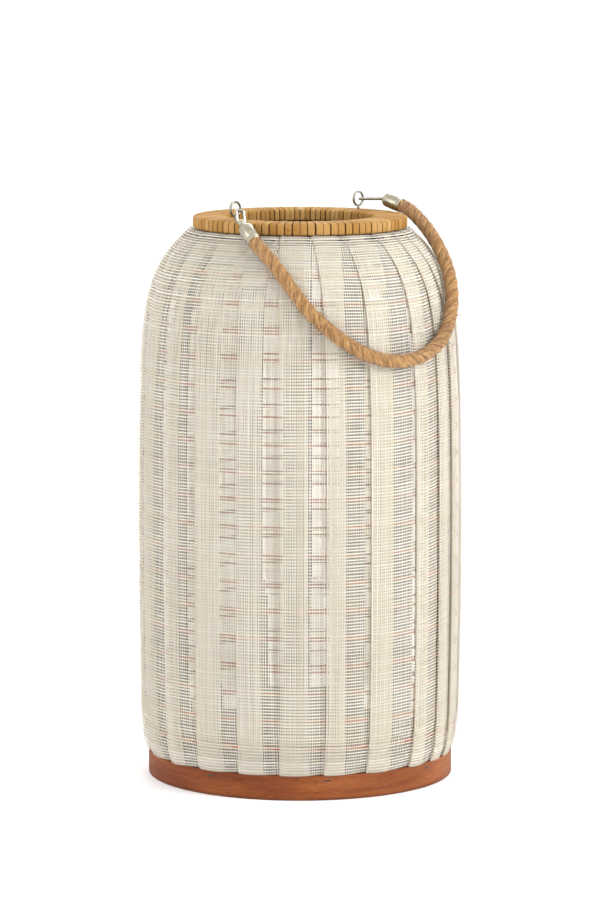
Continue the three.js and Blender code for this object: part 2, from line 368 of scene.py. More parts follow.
ropeSettings = {
    "diameter": 0.012,
    "lay": 0.033,  # one turn of a strand
    "strandRadius": 0.0050,
    "strandOffset": 0.00115,
    "steps": 420,
    "sides": 48,
    "strands": 3,
    "straight": 0.003,
    "inside": 0.001,  # how far the ends reach into the ferrules
    "hairs": 420,
    "hairReach": (0.0015, 0.0042),
    "hairRoot": 0.0054,
    "hairRise": 0.0024,
    "hairRadius": (5e-5, 9e-5),
    "hairClear": 8,  # steps at each end that carry no hairs
    "strayRoot": 0.0045,
    "strayRadius": 0.00028,
    # Long dark fibres worked loose: where along the rope, which way each leaves, and its length
    "strays": [
        (0.30, (0.75, -0.45, -0.5), 0.016),
        (0.66, (-0.5, -0.55, -0.65), 0.024),
        (0.645, (0.8, -0.2, 0.1), 0.008),
        (0.47, (0.2, -0.7, -0.5), 0.007),
        (0.585, (0.7, -0.3, -0.7), 0.009),
    ],
}
leftLug = Vector((-51, -88, 500.8)) * mm
leftMouth = Vector((-39.3, -105.3, 486)) * mm
rightLug = Vector((76.4, 50, 511.2)) * mm
rightMouth = Vector((91, 37.6, 505.8)) * mm
ropeWay = [
    (-35.8, -110.2, 482.2),
    (-28.7, -118, 475),
    (-18.2, -128.3, 463),
    (-7, -136.7, 448),
    (6, -141.6, 431),
    (23, -143, 415),
    (41, -140.6, 401),
    (59.5, -134.6, 390.5),
    (78.5, -124.8, 384.5),
    (98, -110.6, 384.5),
    (116, -90.6, 391.5),
    (127.2, -72.4, 404.5),
    (133, -54.5, 425),
    (132, -39, 447.5),
    (125, -21.5, 468.5),
    (113.5, 0, 487.5),
    (100.5, 23, 501),
    (96, 32, 503.9),
]


def ropeRoute(reachIn):
    s = ropeSettings
    leftOut = (leftMouth - leftLug).normalized()
    rightOut = (rightMouth - rightLug).normalized()
    points = [leftMouth - leftOut * reachIn, leftMouth + leftOut * s["straight"]]
    points += [Vector(p) * mm for p in ropeWay]
    points += [rightMouth + rightOut * s["straight"], rightMouth - rightOut * reachIn]
    return smoothThrough(points, s["steps"])


def strandReach(angle, turn):
    # How far the outside of the strands lies from the rope's middle, in each direction.
    s = ropeSettings
    step = 2 * math.pi / s["strands"]
    off = (angle - turn + step / 2) % step - step / 2
    c = s["strandOffset"]
    return c * np.cos(off) + np.sqrt(s["strandRadius"] ** 2 - (c * np.sin(off)) ** 2)


def juteMaterial():
    sh = Shader("laid_jute")
    along = sh.place("UV")
    yarns = sh.noise(sh.scaled(along, (15, 0.9, 1), (0, 0, 0.5)), 1.0, 3, 0.6, 0.5)
    fibres = sh.noise(sh.scaled(along, (46, 3.2, 1), (0, 0, 0.35)), 1.0, 3, 0.7, 0.8)
    flecks = sh.noise(sh.scaled(along, (22, 3.2, 1), (0, 0, 0.8)), 1.0, 3, 0.65, 0.6)
    patches = sh.noise(sh.place(), 60, 2)
    groove = sh.attribute("groove")
    mixed = yarns * 0.45 + fibres * 0.55
    colour = sh.ramp(
        mixed,
        [(0.38, tone("573518")), (0.45, tone("8f6235")), (0.52, tone("b5884f")), (0.61, tone("d0a66c"))],
    )
    colour = sh.mix(sh.between(patches, 0.4, 0.7, 0, 0.3), colour, tone("9c6c3c"))
    shadow = sh.between(groove, 0.45, 1, 0, 0.85) * sh.between(flecks, 0.35, 0.6)
    colour = sh.mix(shadow, colour, tone("5a371c"))
    rough = sh.between(mixed, 0.3, 0.7, 0.85, 1)
    normal = sh.bump(mixed, 0.003)
    return sh.finish(Base_Color=colour, Roughness=rough, Normal=normal, Sheen_Weight=0.15)


def hairMaterial():
    sh = Shader("jute_fibre")
    patches = sh.noise(sh.place(), 90, 2)
    colour = sh.ramp(patches, [(0.3, tone("8f6438")), (0.7, tone("c8a06c"))])
    return sh.finish(Base_Color=colour, Roughness=0.9)


def strayMaterial():
    sh = Shader("dark_fibre")
    patches = sh.noise(sh.place(), 200, 2)
    colour = sh.ramp(patches, [(0.3, tone("2a1c12")), (0.7, tone("5a3b24"))])
    return sh.finish(Base_Color=colour, Roughness=0.85)


def makeRope():
    s = ropeSettings
    line = ropeRoute(s["inside"])
    travel = np.concatenate([[0], np.cumsum(np.linalg.norm(np.diff(line, axis=0), axis=1))])
    turns = travel / s["lay"] * 2 * math.pi

    def section(i, angles):
        return strandReach(angles, turns[i])

    rope = tube("handle_rope_laid", line, None, s["sides"], (0, 0, 1), travel[-1] / s["diameter"], section)
    angles = np.linspace(0, 2 * math.pi, s["sides"], endpoint=False)
    reach = [section(i, angles) for i in range(len(line))]
    low, high = min(r.min() for r in reach), max(r.max() for r in reach)
    deep = np.concatenate([(high - r) / (high - low) for r in reach] + [[0, 0]])
    groove = rope.data.attributes.new("groove", "FLOAT", "POINT")
    groove.data.foreach_set("value", np.clip(deep, 0, 1).astype(np.float32))
    # The pattern turns with the strands: each corner's u is taken back by the lay.
    layer = rope.data.uv_layers["along"]
    uv = np.zeros(len(layer.data) * 2, np.float32)
    layer.data.foreach_get("uv", uv)
    uv = uv.reshape(-1, 2)
    uv[:, 0] -= uv[:, 1] * s["diameter"] / s["lay"]
    layer.data.foreach_set("uv", uv.ravel())
    finished(rope, handleName, juteMaterial(), ["handle_rope"])
    return line


def hairMesh(name, hairs, sides):
    # Fine closed hairs: each is (points, radius).
    made = []
    for points, radius in hairs:
        radii = np.linspace(radius, radius * 0.35, len(points))
        made.append(tube(name, points, radii, sides, (0.3, 0.2, 0.93)))
    return joined(made, name)


def makeFuzz(line):
    s = ropeSettings
    rng = random.Random(4)
    across, up = frames(line, (0, 0, 1))
    hairs = []
    for _ in range(s["hairs"]):
        i = rng.randrange(s["hairClear"], len(line) - s["hairClear"])
        angle = rng.uniform(0, 2 * math.pi)
        out = across[i] * math.cos(angle) + up[i] * math.sin(angle)
        ahead = (line[i + 2] - line[i - 2]) / np.linalg.norm(line[i + 2] - line[i - 2])
        drift = ahead * rng.uniform(-1, 1) + np.cross(ahead, out) * rng.uniform(-0.8, 0.8)
        length = rng.uniform(*s["hairReach"])
        root = line[i] + out * s["hairRoot"]
        steps = np.linspace(0, 1, 4)[:, None]
        points = root + out * s["hairRise"] * steps + drift * length * steps**1.6
        hairs.append((points, rng.uniform(*s["hairRadius"])))
    fuzz = hairMesh("rope_fuzz", hairs, 3)
    finished(fuzz, handleName, hairMaterial())


def makeStrays(line):
    s = ropeSettings
    hairs = []
    for share, way, length in s["strays"]:
        i = int(share * (len(line) - 1))
        way = np.array(way) / np.linalg.norm(way)
        steps = np.linspace(0, 1, 7)[:, None]
        bow = np.array([0.12, 0, 0.2]) * np.sin(steps * math.pi) * length
        points = line[i] + way * (s["strayRoot"] + length * steps) + bow
        hairs.append((points, s["strayRadius"]))
    strays = hairMesh("rope_stray_fibres", hairs, 5)
    finished(strays, handleName, strayMaterial())


print("rope")
addCamera()
ropeLine = makeRope()
makeFuzz(ropeLine)
makeStrays(ropeLine)


# Pleated gauze: one long sheet laid in knife pleats round the basket

gauzeSettings = {
    "bodyRadius": 0.1437,
    # Where the free fold edges lie, in degrees from the front towards the right
    "frontFolds": [-55.8, -39.7, -22.5, -7.1, 9.2, 25.5, 45, 58.1, 68.8],
    "backPleats": 14,
    # Degrees of each pleat tucked under the next one, by turns
    "overlap": [10.3, 8.4, 10, 7.1, 9.3, 7.1, 7.5, 8.2, 8.5],
    "rowShift": 0.05,  # how far the hidden turns hang below the outer one, in rows
    "warpPitch": 0.0021,
    "weftPitch": 0.00275,
    "warpWidth": 0.00094,
    "weftWidth": 0.0012,
    # Width of the band along each fold edge that is coloured darker tan
    "foldBand": 0.0009,
    "warpSteps": 20,
    "outerDepth": -0.0006,
    "middleDepth": 0.0006,
    "innerDepth": 0.0018,
    "puff": 0.0009,
    "slack": 0.09,  # the pleats lie flatter and flatter over this much of the sheet below its top
    "slant": 0.004,
    "sway": 0.0005,
    "turnEdge": 0.0005,
    "warpLift": 0.0002,
    # Painted shade on the tucked turns: how far the inner and the middle one are darkened
    "innerShade": 0.1,
    "middleShade": 0.35,
    "neckTurn": -3.3,  # degrees that the folds lean to the left on their way up to the neck
    "topReach": [(0.0925, 0.4893)],  # the sheet's end, gripped between the ring and the slats
}


def coverProfile():
    # The CAD cover's outer outline, from its hem up: of each close pair of points, the one further out.
    places = [v.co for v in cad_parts["gauze_cover"].data.vertices]
    points = {(round(math.hypot(p.x, p.y), 5), round(p.z, 5)) for p in places}
    same, thick = 1e-5, 0.003
    outer = [p for p in points if not any(q[0] > p[0] + same and math.dist(p, q) < thick for q in points)]
    return sorted(outer, key=lambda p: p[1])


class Pleats:
    # Where any point of the flat sheet lies once it is pleated. s runs across the sheet, v up it.
    def __init__(self):
        g = gauzeSettings
        rng = random.Random(11)
        outline = coverProfile() + g["topReach"]
        self.outline = smoothThrough([(r, z, 0) for r, z in outline], 400)[:, :2]
        steps = np.linalg.norm(np.diff(self.outline, axis=0), axis=1)
        self.travel = np.concatenate([[0], np.cumsum(steps)])
        self.height = self.travel[-1]
        slope = np.gradient(self.outline, axis=0)
        slope /= np.linalg.norm(slope, axis=1)[:, None]
        self.outwards = np.stack([slope[:, 1], -slope[:, 0]], axis=1)
        folds = list(g["frontFolds"])
        left, right = folds[0] + 360, folds[-1]
        share = (left - right) / g["backPleats"]
        folds += [right + share * (i + 1) + rng.uniform(-1, 1) for i in range(g["backPleats"] - 1)]
        self.folds = np.radians(np.array(folds))
        self.pitch = np.radians(np.diff(np.array(folds + [left])))
        self.count = len(folds)
        hidden = [g["overlap"][i % len(g["overlap"])] for i in range(self.count)]
        # Each pleat's length holds, so its overlap grows where the lantern narrows.
        self.long = (self.pitch + 2 * np.radians(np.array(hidden))) * g["bodyRadius"]
        self.puff = np.array([rng.uniform(0.4, 1.3) for _ in range(self.count)]) * g["puff"]
        self.wave = np.array([rng.uniform(0, 6.28) for _ in range(self.count)])
        middle = self.folds + self.pitch / 2
        chance = np.array([rng.uniform(-3e-4, 3e-4) for _ in folds])
        self.slant = g["slant"] * np.clip(np.sin(middle) - 0.25, 0, 1) + chance

    def at(self, v):
        # Radius, height and outward direction at a length up the sheet.
        r, z = (np.interp(v, self.travel, self.outline[:, k]) for k in (0, 1))
        nr, nz = (np.interp(v, self.travel, self.outwards[:, k]) for k in (0, 1))
        return r, z, nr, nz

    def lean(self, r):
        # How far the folds have turned where the lantern's radius is r.
        g = gauzeSettings
        neck = g["topReach"][0][0]
        return math.radians(g["neckTurn"]) * (g["bodyRadius"] - r) / (g["bodyRadius"] - neck)

    def lengths(self, i, v):
        # How much of the pleat shows, and how much turns back under it.
        r = self.at(v)[0]
        shown = self.pitch[i] * r
        return shown, np.clip((self.long[i] - shown) / 2, 0.002, 0.95 * shown), r

    def bend(self, i, s, v):
        # Azimuth and depth of a point of pleat i.
        g = gauzeSettings
        shown, under, r = self.lengths(i, v)
        loose = np.clip((self.height - v) / g["slack"], 0.25, 1)
        beneath = self.lengths((i - 1) % self.count, v)[1]
        band = np.clip(beneath / shown, 0.05, 0.95)
        t = np.clip(s / shown, 0, 1)
        fall = np.clip((t - band * 0.8) / (1 - band * 0.8), 0, 1)
        fall = fall * fall * (3 - 2 * fall)
        outer = g["outerDepth"] + (g["innerDepth"] - g["outerDepth"] - 0.0004) * fall
        breath = 0.75 + 0.25 * np.sin(v * 21 + self.wave[i])
        outer = outer - self.puff[i] * np.sin(math.pi * np.clip(t / band, 0, 1)) * breath
        hidden = np.where(s <= shown + under, g["innerDepth"], g["middleDepth"])
        depth = np.where(s <= shown, outer, hidden)
        back = 2 * (shown + under) - s
        azimuth = self.folds[i] + self.lean(r) + np.where(s <= shown + under, s, back) / r
        return azimuth, depth * loose

    def slip(self, i, s, v):
        # Rows aren't quite level: they slant and sway, but not at the hem and the top.
        shown = self.lengths(i, v)[0]
        held = np.clip(v / 0.04, 0, 1) * np.clip((self.height - v) / 0.05, 0, 1)
        t = np.clip(s / shown, 0, 1)
        sway = gauzeSettings["sway"] * np.sin(v * 9 + self.wave[i]) * np.sin(math.pi * t)
        lean = self.slant[i] * (t - 0.5)
        return v + (lean + sway) * held + self.stagger(i, s, v)

    def stagger(self, i, s, v):
        # The hidden turns hang a little lower, and come back level at the folds.
        g = gauzeSettings
        shown, under, _ = self.lengths(i, v)
        t = (s - shown) / (2 * under)
        return -g["rowShift"] * g["weftPitch"] * np.clip(np.minimum(t * 4, (1 - t) * 12), 0, 1)

    def place(self, i, s, v, lift=0.0):
        azimuth, depth = self.bend(i, s, v)
        r, z, nr, nz = self.at(self.slip(i, s, v))
        r = r + nr * (lift - depth)
        z = z + nz * (lift - depth)
        return np.stack([r * np.sin(azimuth), -r * np.cos(azimuth), z], axis=-1)

    def samples(self, i, v):
        # Places across pleat i where a weft yarn bends: more on what shows than on what is hidden.
        shown, under, _ = self.lengths(i, v)
        # The weft's first bend past the fold edge lies where the darker tan band ends.
        wear = gauzeSettings["foldBand"]
        outer = np.concatenate([[0], wear + np.linspace(0, 1, 9) * (shown - wear)])
        inner = shown + np.linspace(0.34, 1, 3) * under
        middle = shown + under + np.linspace(0.04, 0.985, 4) * under
        return np.concatenate([outer, inner, middle])

    def shade(self, i, s, v):
        # The hidden turns get painted shade, darker than what shows, the middle one most.
        g = gauzeSettings
        shown, under, _ = self.lengths(i, v)
        hidden = np.where(s > shown + under, g["middleShade"], g["innerShade"])
        return np.where(s > shown, hidden, 0.0)

    def fold(self, i, v):
        # The rounded free edge where pleat i turns over, just left of its fold line.
        r, z = self.at(v)[:2]
        azimuth = self.folds[i] + self.lean(r) - gauzeSettings["turnEdge"] / r
        return np.stack([r * np.sin(azimuth), -r * np.cos(azimuth), z], axis=-1)


def weftRows(pleats, rng):
    # Every weft yarn: its lower and upper edge, all the way round, and how near a fold each point is.
    g = gauzeSettings
    count = int(pleats.height / g["weftPitch"])
    rows = []
    for k in range(count):
        v = g["weftPitch"] * (k + 0.5) + rng.uniform(-0.00018, 0.00018)
        width = g["weftWidth"] * rng.uniform(0.82, 1.18)
        edges, near, shade = [], [], []
        for i in range(pleats.count):
            s = pleats.samples(i, v)
            thin = width * np.array([rng.uniform(0.82, 1.15) for _ in s]) / 2
            edges.append((pleats.place(i, s, v - thin), pleats.place(i, s, v + thin)))
            near.append(np.clip(1 - s / g["foldBand"], 0, 1))
            shade.append(pleats.shade(i, s, v))
            j = (i + 1) % pleats.count
            edges.append((pleats.fold(j, v - thin[:1]), pleats.fold(j, v + thin[:1])))
            near.append(np.ones(1))
            shade.append(np.zeros(1))
        low = np.vstack([e[0] for e in edges])
        high = np.vstack([e[1] for e in edges])
        rows.append((low, high, np.concatenate(near), np.concatenate(shade), rng.random()))
    return rows


def warpLines(pleats, rng):
    # Every warp yarn: its left and right edge, from the hem up, a little outside the weft.
    g = gauzeSettings
    lines = []
    v = pleats.height * (np.linspace(0, 1, g["warpSteps"] + 1) ** 0.85)
    for i in range(pleats.count):
        count = int(pleats.long[i] / g["warpPitch"])
        for k in range(count):
            s = np.full_like(v, pleats.long[i] * (k + 0.5) / count + rng.uniform(-0.0002, 0.0002))
            thin = g["warpWidth"] * np.array([rng.uniform(0.8, 1.25) for _ in v]) / 2
            left = pleats.place(i, s - thin, v, g["warpLift"])
            right = pleats.place(i, s + thin, v, g["warpLift"])
            near = np.full(len(v), max(0.0, 1 - s[0] / g["foldBand"]))
            lines.append((left, right, near, pleats.shade(i, s, v), rng.random()))
    return lines


def ribbons(name, strips, closed):
    # Flat yarns as one mesh: each strip is (one edge, other edge, nearness to a fold, painted shade of the
    # tucked turns, its own tone).
    points, faces, near, tuckShade, own, uvs = [], [], [], [], [], []
    start = 0
    for low, high, fold, shade, ownTone in strips:
        n = len(low)
        points.append(np.stack([low, high], axis=1).reshape(-1, 3))
        near.append(np.repeat(fold, 2))
        tuckShade.append(np.repeat(shade, 2))
        own.append(np.full(2 * n, ownTone))
        k = np.arange(n if closed else n - 1)
        j = (k + 1) % n
        faces.append(start + np.stack([2 * k, 2 * j, 2 * j + 1, 2 * k + 1], axis=1))
        along = k / len(k)
        ahead = (k + 1) / len(k)
        zero, one = np.zeros(len(k)), np.ones(len(k))
        uvs.append(np.stack([zero, along, zero, ahead, one, ahead, one, along], axis=1))
        start += 2 * n
    mesh = bpy.data.meshes.new(name)
    mesh.from_pydata(np.vstack(points).tolist(), [], np.vstack(faces).tolist())
    for key, values in (("foldEdge", near), ("tuckedDust", tuckShade), ("yarnTone", own)):
        attribute = mesh.attributes.new(key, "FLOAT", "POINT")
        attribute.data.foreach_set("value", np.concatenate(values).astype(np.float32))
    layer = mesh.uv_layers.new(name="along")
    layer.data.foreach_set("uv", np.vstack(uvs).astype(np.float32).ravel())
    mesh.polygons.foreach_set("use_smooth", [True] * len(mesh.polygons))
    mesh.update()
    piece = bpy.data.objects.new(name, mesh)
    bpy.context.scene.collection.objects.link(piece)
    return piece


def gauzeMaterial():
    sh = Shader("cotton_gauze")
    own = sh.attribute("yarnTone")
    near = sh.attribute("foldEdge")
    tuckShade = sh.attribute("tuckedDust")
    place = sh.place()
    soil = sh.noise(place, 18, 3)
    slub = sh.noise(sh.scaled(place, (260, 260, 420)), 1.0, 2)
    colour = sh.ramp(own, [(0.0, tone("efe6d3")), (0.5, tone("f6efe1")), (1.0, tone("fbf7ed"))])
    colour = sh.mix(sh.between(slub, 0.45, 0.8, 0, 0.3), colour, tone("dccba8"))
    colour = sh.mix(sh.between(soil, 0.5, 0.8, 0, 0.2), colour, tone("e6dac2"))
    # Darker tan along each fold edge.
    colour = sh.mix(sh.between(near, 0.2, 1, 0, 0.5), colour, tone("b88f60"))
    # Painted shade on the tucked turns that lie under the outer layer.
    colour = sh.mix(tuckShade * 0.85, colour, tone("ac9c79"))
    across = sh.add("ShaderNodeSeparateXYZ", {}, {"Vector": sh.place("UV")}) - 0.5
    normal = sh.bump(1 - across * across * 4, 0.0004)
    cloth = sh.finish(Base_Color=colour, Roughness=0.95, Normal=normal, Sheen_Weight=0.15)
    glow = sh.add("ShaderNodeBsdfTranslucent", {}, {"Color": colour, "Normal": normal})
    both = sh.add("ShaderNodeMixShader", {}, {0: 0.3, 1: Socket(sh, sh.surface.outputs[0]), 2: glow})
    sh.plug(sh.output.inputs["Surface"], both)
    return cloth


def makeGauze():
    rng = random.Random(7)
    pleats = Pleats()
    weft = ribbons("gauze_weft", weftRows(pleats, rng), True)
    warp = ribbons("gauze_warp", warpLines(pleats, rng), False)
    gauze = joined([weft, warp], "pleated_gauze")
    finished(gauze, bodyName, gauzeMaterial(), ["gauze_cover"])


print("gauze")
makeGauze()


# Basket: round rods and split bamboo slats

basketSettings = {"rodSides": 10, "rodSegments": 120, "slatEase": 0.0006}


def rattanMaterial():
    sh = Shader("rattan")
    grain = sh.noise(sh.scaled(sh.place(), (30, 30, 700)), 1.0, 3)
    patches = sh.noise(sh.place(), 25, 3)
    colour = sh.ramp(grain, [(0.3, tone("5e230b")), (0.5, tone("a04414")), (0.75, tone("c0642a"))])
    colour = sh.mix(sh.between(patches, 0.45, 0.75, 0, 0.5), colour, tone("5d2610"))
    rough = sh.between(grain, 0, 1, 0.5, 0.75)
    normal = sh.bump(grain, 0.0003)
    return sh.finish(Base_Color=colour, Roughness=rough, Normal=normal, Specular_IOR_Level=0.25)


def bambooMaterial():
    sh = Shader("stained_bamboo")
    fibres = sh.noise(sh.scaled(sh.place(), (900, 900, 14)), 1.0, 3)
    patches = sh.noise(sh.place(), 12, 3)
    colour = sh.ramp(fibres, [(0.3, tone("140a06")), (0.55, tone("20120c")), (0.8, tone("382016"))])
    colour = sh.mix(sh.between(patches, 0.45, 0.75, 0, 0.4), colour, tone("100804"))
    rough = sh.between(fibres, 0, 1, 0.55, 0.8)
    normal = sh.bump(fibres, 0.0003)
    return sh.finish(Base_Color=colour, Roughness=rough, Normal=normal, Specular_IOR_Level=0.25)


def makeBasket():
    b = basketSettings
    rattan = rattanMaterial()
    names = sorted(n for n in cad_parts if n.startswith("rattan_rod_"))
    for name in names:
        low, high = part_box(name)
        thick = (high.z - low.z) / 2
        clearSelection()
        bpy.ops.mesh.primitive_torus_add(
            major_segments=b["rodSegments"],
            minor_segments=b["rodSides"],
            major_radius=high.x - thick,
            minor_radius=thick,
            location=(0, 0, (high.z + low.z) / 2),
        )
        rod = bpy.context.object
        rod.name = name.replace("rattan", "round")
        bpy.ops.object.shade_smooth()
        finished(settle(rod), bodyName, rattan, [name])
    bamboo = bambooMaterial()
    for name in sorted(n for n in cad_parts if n.startswith("bamboo_slat_")):
        slat = joined([copied(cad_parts[name], Matrix.Identity(4))], name.replace("bamboo", "split"))
        slat.parent = None
        activate(slat)
        bpy.ops.object.mode_set(mode="EDIT")
        bpy.ops.mesh.select_all(action="SELECT")
        bpy.ops.mesh.remove_doubles(threshold=1e-6)
        bpy.ops.object.mode_set(mode="OBJECT")
        eased(slat, b["slatEase"], 2, 50)
        smooth(slat, 30)
        finished(slat, bodyName, bamboo, [name])
    paint("bottom_inner_rim", bamboo)


def paint(name, material):
    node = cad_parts[name]
    node.data.materials.clear()
    node.data.materials.append(material)


print("basket")
makeBasket()


# Base: bent hoop, floor and staples

baseSettings = {
    "segments": 180,
    "wall": 0.006,
    "edge": 0.0012,
    "jointAzimuth": 152,  # the hoop's lap joint, at the back
    "jointReach": 14,  # degrees that the lap takes to fade
    "jointStep": 0.0009,
    "jointSlant": 300,  # degrees a metre up the hoop
    "stapleWidth": 0.0072,
    "stapleHeight": 0.0175,
    "stapleWire": 0.0013,
    "stapleCount": 8,
    "stapleSunk": 0.3,  # the share of the wire pressed into the hoop, and its rounding
    "firstStaple": -35,
    "stapleTilts": [-4, -3, -2, -1, 0, 1, 2, 3],
}


def hoopMaterial():
    sh = Shader("stained_hoop_wood")
    place = sh.place()
    figure = sh.noise(sh.scaled(place, (7, 7, 60)), 1.0, 6, 0.6, 0.6)
    grain = sh.noise(sh.scaled(place, (42, 42, 900)), 1.0, 5, 0.65)
    pores = sh.noise(sh.scaled(place, (170, 170, 1500)), 1.0, 2)
    wide = sh.noise(place, 9, 3)
    colour = sh.ramp(
        figure,
        [(0.3, tone("60290e")), (0.44, tone("773a15")), (0.56, tone("86461c")), (0.7, tone("995829"))],
    )
    colour = sh.mix(sh.between(grain, 0.45, 0.75, 0, 0.6), colour, tone("5f2f16"))
    colour = sh.mix(sh.between(pores, 0.6, 0.68, 0, 0.75), colour, tone("38190b"))
    colour = sh.mix(sh.between(wide, 0.5, 0.75, 0, 0.35), colour, tone("a8714a"))
    height = sh.add("ShaderNodeSeparateXYZ", {}, {"Vector": place}, 2)
    foot = sh.between(height, 0.0, 0.0035, 1, 0)
    colour = sh.mix(foot * 0.6, colour, tone("43200f"))
    rough = sh.between(grain, 0.2, 0.8, 0.55, 0.75)
    normal = sh.bump(grain + pores * 0.5, 0.0005)
    return sh.finish(Base_Color=colour, Roughness=rough, Normal=normal, Specular_IOR_Level=0.25)


def boardMaterial():
    sh = Shader("dark_board")
    grain = sh.noise(sh.scaled(sh.place(), (300, 14, 14)), 1.0, 4)
    colour = sh.ramp(grain, [(0.3, tone("26150d")), (0.7, tone("4a2e1f"))])
    rough = sh.between(grain, 0, 1, 0.6, 0.85)
    return sh.finish(Base_Color=colour, Roughness=rough, Normal=sh.bump(grain, 0.0004))


def stapleMaterial():
    sh = Shader("darkened_steel")
    spots = sh.noise(sh.place(), 900, 3)
    colour = sh.ramp(spots, [(0.35, tone("2b231d")), (0.7, tone("6a625a"))])
    return sh.finish(Base_Color=colour, Metallic=0.9, Roughness=sh.between(spots, 0, 1, 0.3, 0.7))


def makeBase():
    b = baseSettings
    low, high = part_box("base_hoop")
    clearSelection()
    bpy.ops.mesh.primitive_cylinder_add(
        vertices=b["segments"],
        radius=high.x,
        depth=high.z - low.z,
        end_fill_type="NOTHING",
        location=(0, 0, (high.z + low.z) / 2),
    )
    hoop = bpy.context.object
    hoop.name = "bent_hoop"
    settle(hoop)
    applied(hoop, "SOLIDIFY", thickness=b["wall"], offset=-1)
    # The lap joint: a shallow slanting step where one end of the strip lies over the other.
    for vertex in hoop.data.vertices:
        azimuth = math.degrees(math.atan2(vertex.co.x, -vertex.co.y)) - b["jointAzimuth"]
        reach = azimuth - (vertex.co.z - high.z / 2) * b["jointSlant"]
        outside = math.hypot(vertex.co.x, vertex.co.y) > high.x - b["wall"] / 2
        if outside and 0 < reach < b["jointReach"]:
            share = 1 + b["jointStep"] / high.x * (1 - reach / b["jointReach"])
            vertex.co.x *= share
            vertex.co.y *= share
    eased(hoop, b["edge"], 3, 60)
    finished(smooth(hoop, 40), bodyName, hoopMaterial(), ["base_hoop"])
    paint("floor_board", boardMaterial())
    makeStaples(high.x)


def makeStaples(hoopRadius):
    b = baseSettings
    steel = stapleMaterial()
    wire, half = b["stapleWire"], b["stapleWidth"] / 2
    clearSelection()
    bpy.ops.mesh.primitive_cube_add(size=1, location=(0, 0, 0))
    first = bpy.context.object
    first.scale = (2 * half, wire, wire)
    settle(first)
    applied(first, "BEVEL", width=wire * b["stapleSunk"], segments=3)
    smooth(first, 40)
    for i in range(b["stapleCount"]):
        azimuth = math.radians(b["firstStaple"] + 360 / b["stapleCount"] * i)
        tilt = Matrix.Rotation(math.radians(b["stapleTilts"][i]), 4, "Y")
        out = Matrix.Translation((0, -(hoopRadius - wire * b["stapleSunk"]), b["stapleHeight"]))
        staple = copied(first, Matrix.Rotation(azimuth, 4, "Z") @ out @ tilt)
        staple.name = f"pressed_staple_{i + 1}"
        finished(staple, bodyName, steel, [f"base_staple_{i + 1}"])
    bpy.data.objects.remove(first)


print("base")
makeBase()


# Top ring: flat reed wound over a board core

ringSettings = {
    "turns": 88,
    "width": 0.0306,
    "gap": 0.0008,  # between turns at the outer edge
    "wall": 0.0014,
    "round": 0.0022,
    "ease": 0.0004,
    "dome": 0.0010,
    "lean": 1.2,  # degrees that a turn may lean
}


def reedMaterial():
    sh = Shader("peeled_reed")
    own = sh.attribute("turnTone")
    along = sh.place("UV")
    fibres = sh.noise(sh.scaled(along, (38, 2.2, 1)), 1.0, 4, 0.6)
    stains = sh.noise(sh.place(), 140, 3)
    knots = sh.noise(sh.scaled(sh.place(), (1, 1, 0.5)), 330, 1)
    colour = sh.ramp(
        own,
        [(0.0, tone("9c733b")), (0.3, tone("a57d44")), (0.75, tone("af884e")), (1.0, tone("ba955f"))],
    )
    colour = sh.mix(sh.between(fibres, 0.45, 0.75, 0, 0.55), colour, tone("96652f"))
    colour = sh.mix(sh.between(stains, 0.55, 0.78, 0, 0.5), colour, tone("8f6534"))
    colour = sh.mix(sh.between(knots, 0.72, 0.78, 0, 0.85), colour, tone("4a3019"))
    edge = sh.attribute("turnEdge")
    colour = sh.mix(sh.between(edge, 0.5, 1, 0, 0.6), colour, tone("8a5a30"))
    rough = sh.between(fibres, 0, 1, 0.7, 0.9)
    normal = sh.bump(fibres, 0.0004)
    return sh.finish(Base_Color=colour, Roughness=rough, Normal=normal, Specular_IOR_Level=0.1)


def coreMaterial():
    sh = Shader("core_board")
    grain = sh.noise(sh.scaled(sh.place(), (20, 200, 200)), 1.0, 4)
    colour = sh.ramp(grain, [(0.3, tone("3a2616")), (0.7, tone("5d4128"))])
    rough = sh.between(grain, 0, 1, 0.7, 0.9)
    return sh.finish(Base_Color=colour, Roughness=rough, Normal=sh.bump(grain, 0.0003))


def oneTurn():
    # One turn of reed at the front: a closed band round the core, wider outside than inside.
    r = ringSettings
    low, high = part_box("top_ring_wrap")
    outer = high.x
    width = r["width"]
    inner = outer - width
    top = high.z - r["dome"]
    reach = 2 * math.pi / r["turns"]
    clearSelection()
    middle = (outer + inner) / 2
    bpy.ops.mesh.primitive_cube_add(size=1, location=(0, -middle, (low.z + top) / 2))
    turn = bpy.context.object
    turn.scale = (reach * outer - r["gap"], width, top - low.z)
    settle(turn)
    selectFaces(turn, lambda face: abs(face.normal.x) > 0.9)
    bpy.ops.mesh.delete(type="FACE")
    selectEdges(turn, lambda a, b: abs(a.x - b.x) > (turn.dimensions.x) / 2)
    bpy.ops.mesh.bevel(offset=r["round"], segments=3, affect="EDGES")
    selectEdges(turn, lambda a, b: abs(a.y - b.y) > width / 2)
    bpy.ops.mesh.subdivide(number_cuts=5)
    bpy.ops.object.mode_set(mode="OBJECT")
    for vertex in turn.data.vertices:
        p = vertex.co
        across = (-p.y - middle) / (width / 2)
        if p.z > (low.z + top) / 2:
            p.z += r["dome"] * (1 - across * across)
        p.x *= (-p.y - r["gap"] * 0.5) / outer
    applied(turn, "SOLIDIFY", thickness=r["wall"], offset=-1)
    eased(turn, r["ease"], 2, 50)
    return smooth(turn, 40), middle, outer


